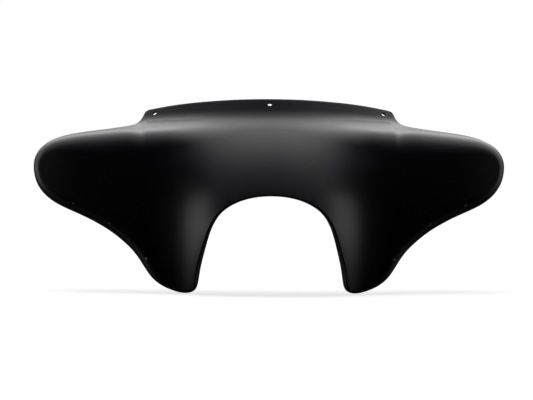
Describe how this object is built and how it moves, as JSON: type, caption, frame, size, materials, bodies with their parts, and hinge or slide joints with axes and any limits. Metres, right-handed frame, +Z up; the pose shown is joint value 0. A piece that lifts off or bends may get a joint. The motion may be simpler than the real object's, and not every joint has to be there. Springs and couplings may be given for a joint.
{
  "type": "motorcycle fairing",
  "caption": "Wing-shaped outer fairing shell for a motorcycle: a moulded sheet with turned-back rims, a folded headlight arch and a windshield flange.",
  "frame": {"origin": "the middle windshield hole, on its axis and halfway through the sheet", "axes": "upright as on the motorcycle: +Z up, the front faces -Y, +X to the right of someone looking at the front"},
  "size_m": [0.8458, 0.2982, 0.3402],
  "materials": {
    "fairing_shell": "satin black, as formed"
  },
  "bodies": {
    "root": {"fairing_shell": "fairing_shell"}
  },
  "joints": []
}
